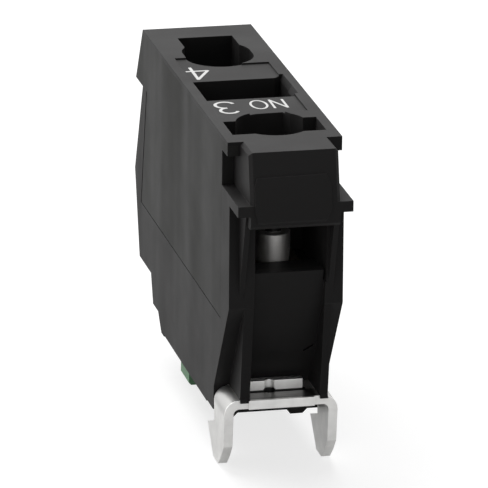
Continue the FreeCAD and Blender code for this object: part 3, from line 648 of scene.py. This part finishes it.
class CONTACT_OT_screws(bpy.types.Operator):
    """Turns both terminal screws, with thread, rounded head and cross recess"""
    bl_idname = "contact.screws"
    bl_label = "Terminal screws"

    def execute(self, context):
        look, size = context.scene.contact_metal, context.scene.contact_screw
        under = (FRONT_HIGH.z - size.head_height) / MM
        shoulder = under - size.neck_length / MM
        # Wider and longer than the block, so that only the height counts
        beyond = 30.0
        # Painted shade: the neck under the head is darkened nearly to black
        neck = PaintedShade(low=(-beyond, -beyond, shoulder + 0.05), high=(beyond, beyond, under),
                     fade=(0.1, 0.1, 0.03), left=0.04)
        zinc = plated_metal("screw zinc", look.screw, look, roughness=0.5, along=(1.0, 1.0, 0.05),
                            painted_shades=(neck,))
        for node, body, low, high in (("front_screw", "front_bolt", FRONT_LOW, FRONT_HIGH),
                                      ("rear_screw", "rear_bolt", REAR_LOW, REAR_HIGH)):
            self.screw(node, body, low, high, zinc, size)
        return {"FINISHED"}

    def screw(self, node, body, low, high, zinc, size):
        """One screw in the box of its CAD node."""
        # Chamfer of the tip, slope behind the thread, slack of the smooth shank, and two small rounded edges
        tip, lead, slack, corner, rim = 0.0003, 0.0002, 0.00001, 0.00007, 0.0001
        centre = Vector(((low.x + high.x) / 2, (low.y + high.y) / 2, 0.0))
        head, top = (high.x - low.x) / 2, high.z
        under = top - size.head_height
        shoulder, smooth = under - size.neck_length, under - size.thread_start
        core, plain = size.shank_radius - size.thread_depth, size.shank_radius - slack
        # The rounded edge of the head, as distances in from its rim and down from its top
        dome = ((0.0, 0.00045), (0.00012, 0.00018), (0.0004, 0.00003), (0.0008, 0.0))
        bm = bmesh.new()
        turned_profile(bm, [
            (0.0, low.z), (core - tip, low.z), (core, low.z + tip), (core, smooth),
            (plain, smooth + lead), (plain, shoulder - corner), (plain - corner, shoulder),
            (size.neck_radius, shoulder), (size.neck_radius, under),
            (head - rim, under), (head, under + rim),
            *((head - inward, top - down) for inward, down in dome), (0.0, top),
        ], centre)
        piece = finish_piece(bm, node + "_turned", zinc, body)
        self.recess(piece, centre, top, size)
        bm = bmesh.new()
        bm.from_mesh(piece.data)
        turns = (smooth - low.z - 2 * tip) / size.pitch
        ridge(bm, size.shank_radius, low.z + tip, turns, size.pitch, size.thread_depth, centre)
        bmesh.ops.recalc_face_normals(bm, faces=bm.faces)
        bm.to_mesh(piece.data)
        bm.free()
        piece.data.shade_smooth()
        piece.data.set_sharp_from_angle(angle=math.radians(35))
        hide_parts(node)

    def recess(self, piece, centre, top, size):
        """Cuts the cross into the head; its floor keeps only a share of the span and the width."""
        floor_span, floor_width = 0.42, 0.6
        bm = bmesh.new()
        for turn in (0.0, math.pi / 2):
            made = bmesh.ops.create_cube(bm, size=1.0)["verts"]
            bmesh.ops.scale(bm, verts=made, vec=(size.recess_span, size.recess_width, size.recess_depth * 2))
            floor = [vert for vert in made if vert.co.z < 0]
            bmesh.ops.scale(bm, verts=floor, vec=(floor_span, floor_width, 1))
            bmesh.ops.rotate(bm, verts=made, cent=(0, 0, 0), matrix=Matrix.Rotation(turn, 3, "Z"))
        bmesh.ops.translate(bm, verts=bm.verts, vec=(centre.x, centre.y, top))
        combine(piece, bm, "DIFFERENCE")


class CONTACT_OT_prints(bpy.types.Operator):
    """Prints the terminal numbers and the contact letters, read from behind"""
    bl_idname = "contact.prints"
    bl_label = "Prints on the top"

    def execute(self, context):
        size = context.scene.contact_print
        ink = ink_material("print white", context.scene.contact_body.ink)
        for name, strokes, centre in (
                ("print_rear_number", self.four(size), size.rear_place),
                ("print_front_number", self.three(size), size.front_place),
                ("print_contact_n", self.letter_n(size), size.letters_place),
                ("print_contact_o", self.letter_o(size), size.letters_place)):
            first, *others = strokes
            piece = finish_piece(self.inked([first], size, centre), name, ink, "base")
            if others:
                combine(piece, self.inked(others, size, centre), "UNION")
        return {"FINISHED"}

    def inked(self, strokes, size, centre):
        """Closed strips of ink for some strokes, on the label recess and turned to be read from behind."""
        bm = bmesh.new()
        for draw, *shape in strokes:
            draw(bm, *shape)
        top = bmesh.ops.extrude_face_region(bm, geom=list(bm.faces), use_keep_orig=True)["geom"]
        raised = [v for v in top if isinstance(v, bmesh.types.BMVert)]
        bmesh.ops.translate(bm, verts=raised, vec=(0, 0, size.ink))
        bmesh.ops.rotate(bm, verts=bm.verts, cent=(0, 0, 0), matrix=Matrix.Rotation(math.pi, 3, "Z"))
        bmesh.ops.translate(bm, verts=bm.verts, vec=(*centre, HOUSING_HIGH.z - size.recess))
        bmesh.ops.recalc_face_normals(bm, faces=bm.faces)
        return bm

    def straight(self, bm, start, end, width):
        """A straight stroke with square ends that reach a little past its points."""
        start, end = Vector(start), Vector(end)
        run = end - start
        past_both_ends = width * 0.6
        turn = Matrix.Rotation(math.atan2(run.y, run.x), 3, "Z")
        made = bmesh.ops.create_grid(bm, x_segments=1, y_segments=1, size=0.5)["verts"]
        bmesh.ops.scale(bm, verts=made, vec=(run.length + past_both_ends, width, 1))
        bmesh.ops.rotate(bm, verts=made, cent=(0, 0, 0), matrix=turn)
        bmesh.ops.translate(bm, verts=made, vec=(*((start + end) / 2), 0))

    def arc(self, bm, centre, across, up, start, sweep, width):
        """A curved stroke along part of an ellipse, from one angle through another, in degrees.

        A band between two circles is spun first, and each circle is then scaled to its side of the stroke.
        """
        near, far = 1.0, 2.0
        between = (near + far) / 2
        ends = [bm.verts.new((r, 0, 0)) for r in (near, far)]
        edge = bm.edges.new(ends)
        bmesh.ops.rotate(bm, verts=ends, cent=(0, 0, 0), matrix=Matrix.Rotation(math.radians(start), 3, "Z"))
        before = set(bm.verts) - set(ends)
        bmesh.ops.spin(bm, geom=[*ends, edge], cent=(0, 0, 0), axis=(0, 0, 1), angle=math.radians(sweep),
                       steps=28, use_merge=abs(sweep) >= 360)
        made = [v for v in bm.verts if v not in before]
        inner = [v for v in made if v.co.length < between]
        outer = [v for v in made if v.co.length >= between]
        bmesh.ops.scale(bm, verts=inner, vec=(across - width / 2, up - width / 2, 1))
        bmesh.ops.scale(bm, verts=outer, vec=((across + width / 2) / far, (up + width / 2) / far, 1))
        bmesh.ops.translate(bm, verts=made, vec=(*centre, 0))

    def four(self, size):
        """A plain 4: stem, slant and bar."""
        half, tall, width = size.digit_width / 2, size.digit / 2, size.stroke
        stem, bar = half * 0.46, -tall * 0.39
        return [(self.straight, (stem, -tall), (stem, tall), width),
                (self.straight, (stem, tall), (-half, bar), width),
                (self.straight, (-half, bar), (half, bar), width)]

    def three(self, size):
        """A plain 3: two open bowls that meet in the middle, the lower one larger."""
        half, tall, width = size.digit_width / 2, size.digit / 2, size.stroke
        upper, lower = tall * 0.47 + width / 4, tall * 0.53 + width / 4
        upper_middle, lower_middle = (-half * 0.05, tall - upper), (-half * 0.02, lower - tall)
        upper_across, lower_across = half * 0.80, half * 0.90
        return [(self.arc, upper_middle, upper_across, upper - width / 2, 160, -250, width),
                (self.arc, lower_middle, lower_across, lower - width / 2, 90, -250, width)]

    def letter_n(self, size):
        """A plain N."""
        wide, tall, width = size.letter_width, size.letter / 2, size.stroke * size.letter_stroke
        left, right = -wide * 1.28, -wide * 0.34
        return [(self.straight, (left, -tall), (left, tall), width),
                (self.straight, (left, tall), (right, -tall), width),
                (self.straight, (right, -tall), (right, tall), width)]

    def letter_o(self, size):
        """A plain O beside the N."""
        wide, tall, width = size.letter_width, size.letter / 2, size.stroke * size.letter_stroke
        middle, across, up = (wide * 0.64, 0), wide * 0.58, tall * 1.02
        return [(self.arc, middle, across, up, 0, 360, width)]


class CONTACT_OT_stage(bpy.types.Operator):
    """Sets the floor, the lights and the camera"""
    bl_idname = "contact.stage"
    bl_label = "Stage"

    def execute(self, context):
        look = context.scene.contact_stage
        self.floor(look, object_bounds()[0][2])
        self.sky(look)
        self.lamp("top_softbox", place=(-0.05, 0.20, 0.40), width=0.40, height=0.40, watts=look.top_light)
        self.lamp("side_softbox", place=(-0.42, 0.12, 0.12), width=0.35, height=0.30, watts=look.side_light)
        self.camera()
        context.scene.view_settings.view_transform = "Standard"
        return {"FINISHED"}

    def floor(self, look, ground):
        """A wide pale floor just under the lowest piece, white where the camera sees it unshadowed."""
        half_width, gap = 2.5, 0.0002
        bm = bmesh.new()
        bmesh.ops.create_grid(bm, x_segments=1, y_segments=1, size=half_width)
        bmesh.ops.translate(bm, verts=bm.verts, vec=(0, 0, ground - gap))
        mesh = bpy.data.meshes.new("floor")
        bm.to_mesh(mesh)
        bm.free()
        piece = bpy.data.objects.new("floor", mesh)
        bpy.context.scene.collection.objects.link(piece)
        mesh.materials.append(self.paper(look))
        piece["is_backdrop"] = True

    def paper(self, look):
        """Matt paper that glows a little for the camera and for polished faces, and for nothing else."""
        material, tree, shader, where = new_material("floor paper")
        darker, paler = shade(look.floor, 0.985), shade(look.floor, 1.01)
        tone = blend_colours(tree, noise_value(tree, where, 900.0), darker, paler)
        link(tree, tone, shader.inputs["Base Color"])
        shader.inputs["Roughness"].default_value = 0.9
        shader.inputs["Specular IOR Level"].default_value = 0.1
        path = add(tree, "ShaderNodeLightPath")
        seen = math_node(tree, "MULTIPLY", path.outputs["Is Camera Ray"], look.seen_glow)
        polished = math_node(tree, "MAXIMUM", path.outputs["Is Glossy Ray"],
                             path.outputs["Is Transmission Ray"])
        mirrored = math_node(tree, "MULTIPLY", polished, look.mirrored_glow)
        glow = add(tree, "ShaderNodeEmission", {"Color": (1, 1, 1, 1)})
        link(tree, math_node(tree, "ADD", seen, mirrored), glow.inputs["Strength"])
        both = add(tree, "ShaderNodeAddShader")
        link(tree, shader.outputs["BSDF"], both.inputs[0])
        link(tree, glow.outputs["Emission"], both.inputs[1])
        output = [n for n in tree.nodes if n.type == "OUTPUT_MATERIAL"][0]
        link(tree, both.outputs["Shader"], output.inputs["Surface"])
        return material

    def sky(self, look):
        """An even pale light, which the camera and polished surfaces see as white."""
        world = bpy.data.worlds.new("studio")
        bpy.context.scene.world = world
        world.use_nodes = True
        tree = world.node_tree
        tree.nodes.clear()
        path = add(tree, "ShaderNodeLightPath")
        seen = math_node(tree, "MAXIMUM", path.outputs["Is Camera Ray"], path.outputs["Is Glossy Ray"])
        seen = math_node(tree, "MAXIMUM", seen, path.outputs["Is Transmission Ray"])
        back = add(tree, "ShaderNodeBackground", {"Color": (1, 1, 1, 1)})
        link(tree, spread(tree, seen, 0.0, 1.0, look.ambient, 1.0), back.inputs["Strength"])
        output = add(tree, "ShaderNodeOutputWorld")
        link(tree, back.outputs["Background"], output.inputs["Surface"])

    def lamp(self, name, place, width, height, watts):
        """A softbox that faces the block."""
        aim = Vector((0.0, 0.0, 0.01))
        light = bpy.data.lights.new(name, "AREA")
        light.shape, light.size, light.size_y, light.energy = "RECTANGLE", width, height, watts
        lamp = bpy.data.objects.new(name, light)
        bpy.context.scene.collection.objects.link(lamp)
        lamp.location = place
        lamp.rotation_euler = (Vector(place) - aim).to_track_quat("Z", "Y").to_euler()

    def camera(self):
        """A long lens at the photograph's height and turn."""
        yaw, pitch, roll = math.radians(13.0045), math.radians(18.1878), math.radians(0.7060)
        ahead = Vector((math.sin(yaw) * math.cos(pitch), math.cos(yaw) * math.cos(pitch), -math.sin(pitch)))
        level = Vector((math.cos(yaw), -math.sin(yaw), 0.0))
        upright = level.cross(ahead)
        right = math.cos(roll) * level + math.sin(roll) * upright
        up = math.cos(roll) * upright - math.sin(roll) * level
        pivot = Vector((0.0, -3.0, 11.7))
        to_left, above, away = 0.67036, 0.74593, 516.796
        place = (pivot - to_left * right + above * up - away * ahead) * MM
        data = bpy.data.cameras.new("camera")
        data.sensor_width, data.lens = 36.0, 435.967
        data.clip_start, data.clip_end = 0.01, 10.0
        camera = bpy.data.objects.new("camera", data)
        bpy.context.scene.collection.objects.link(camera)
        turn = Matrix((right, up, -ahead)).transposed()
        camera.matrix_world = Matrix.Translation(place) @ turn.to_4x4()
        bpy.context.scene.camera = camera


class CONTACT_PT_panel(bpy.types.Panel):
    """Lists the sizes, the colours and the pieces of the contact block"""
    bl_idname = "CONTACT_PT_panel"
    bl_label = "Contact block"
    bl_space_type = "VIEW_3D"
    bl_region_type = "UI"
    bl_category = "Contact block"

    def draw(self, context):
        for settings in SETTINGS:
            box = self.layout.box()
            group = getattr(context.scene, settings)
            for key in group.__annotations__:
                box.prop(group, key)
        for operator in OPERATORS:
            self.layout.operator(operator.bl_idname)


SETTINGS = {
    "contact_body": BodyLook,
    "contact_metal": MetalLook,
    "contact_screw": ScrewSizes,
    "contact_print": PrintSizes,
    "contact_stage": StageLook,
}
OPERATORS = (CONTACT_OT_body, CONTACT_OT_plunger, CONTACT_OT_clip, CONTACT_OT_clamps, CONTACT_OT_contacts,
             CONTACT_OT_springs, CONTACT_OT_screws, CONTACT_OT_prints, CONTACT_OT_stage)


def register():
    """Makes the settings, the operators and the panel known."""
    for kind in (*SETTINGS.values(), *OPERATORS, CONTACT_PT_panel):
        bpy.utils.register_class(kind)
    for name, kind in SETTINGS.items():
        setattr(bpy.types.Scene, name, bpy.props.PointerProperty(type=kind))


def unregister():
    """Takes them all away again."""
    for name in SETTINGS:
        delattr(bpy.types.Scene, name)
    for kind in reversed((*SETTINGS.values(), *OPERATORS, CONTACT_PT_panel)):
        bpy.utils.unregister_class(kind)


def main():
    """Makes every piece and the stage in order."""
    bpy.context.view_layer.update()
    register()
    for operator in OPERATORS:
        family, name = operator.bl_idname.split(".")
        getattr(getattr(bpy.ops, family), name)()


if __name__ == "__main__":
    main()
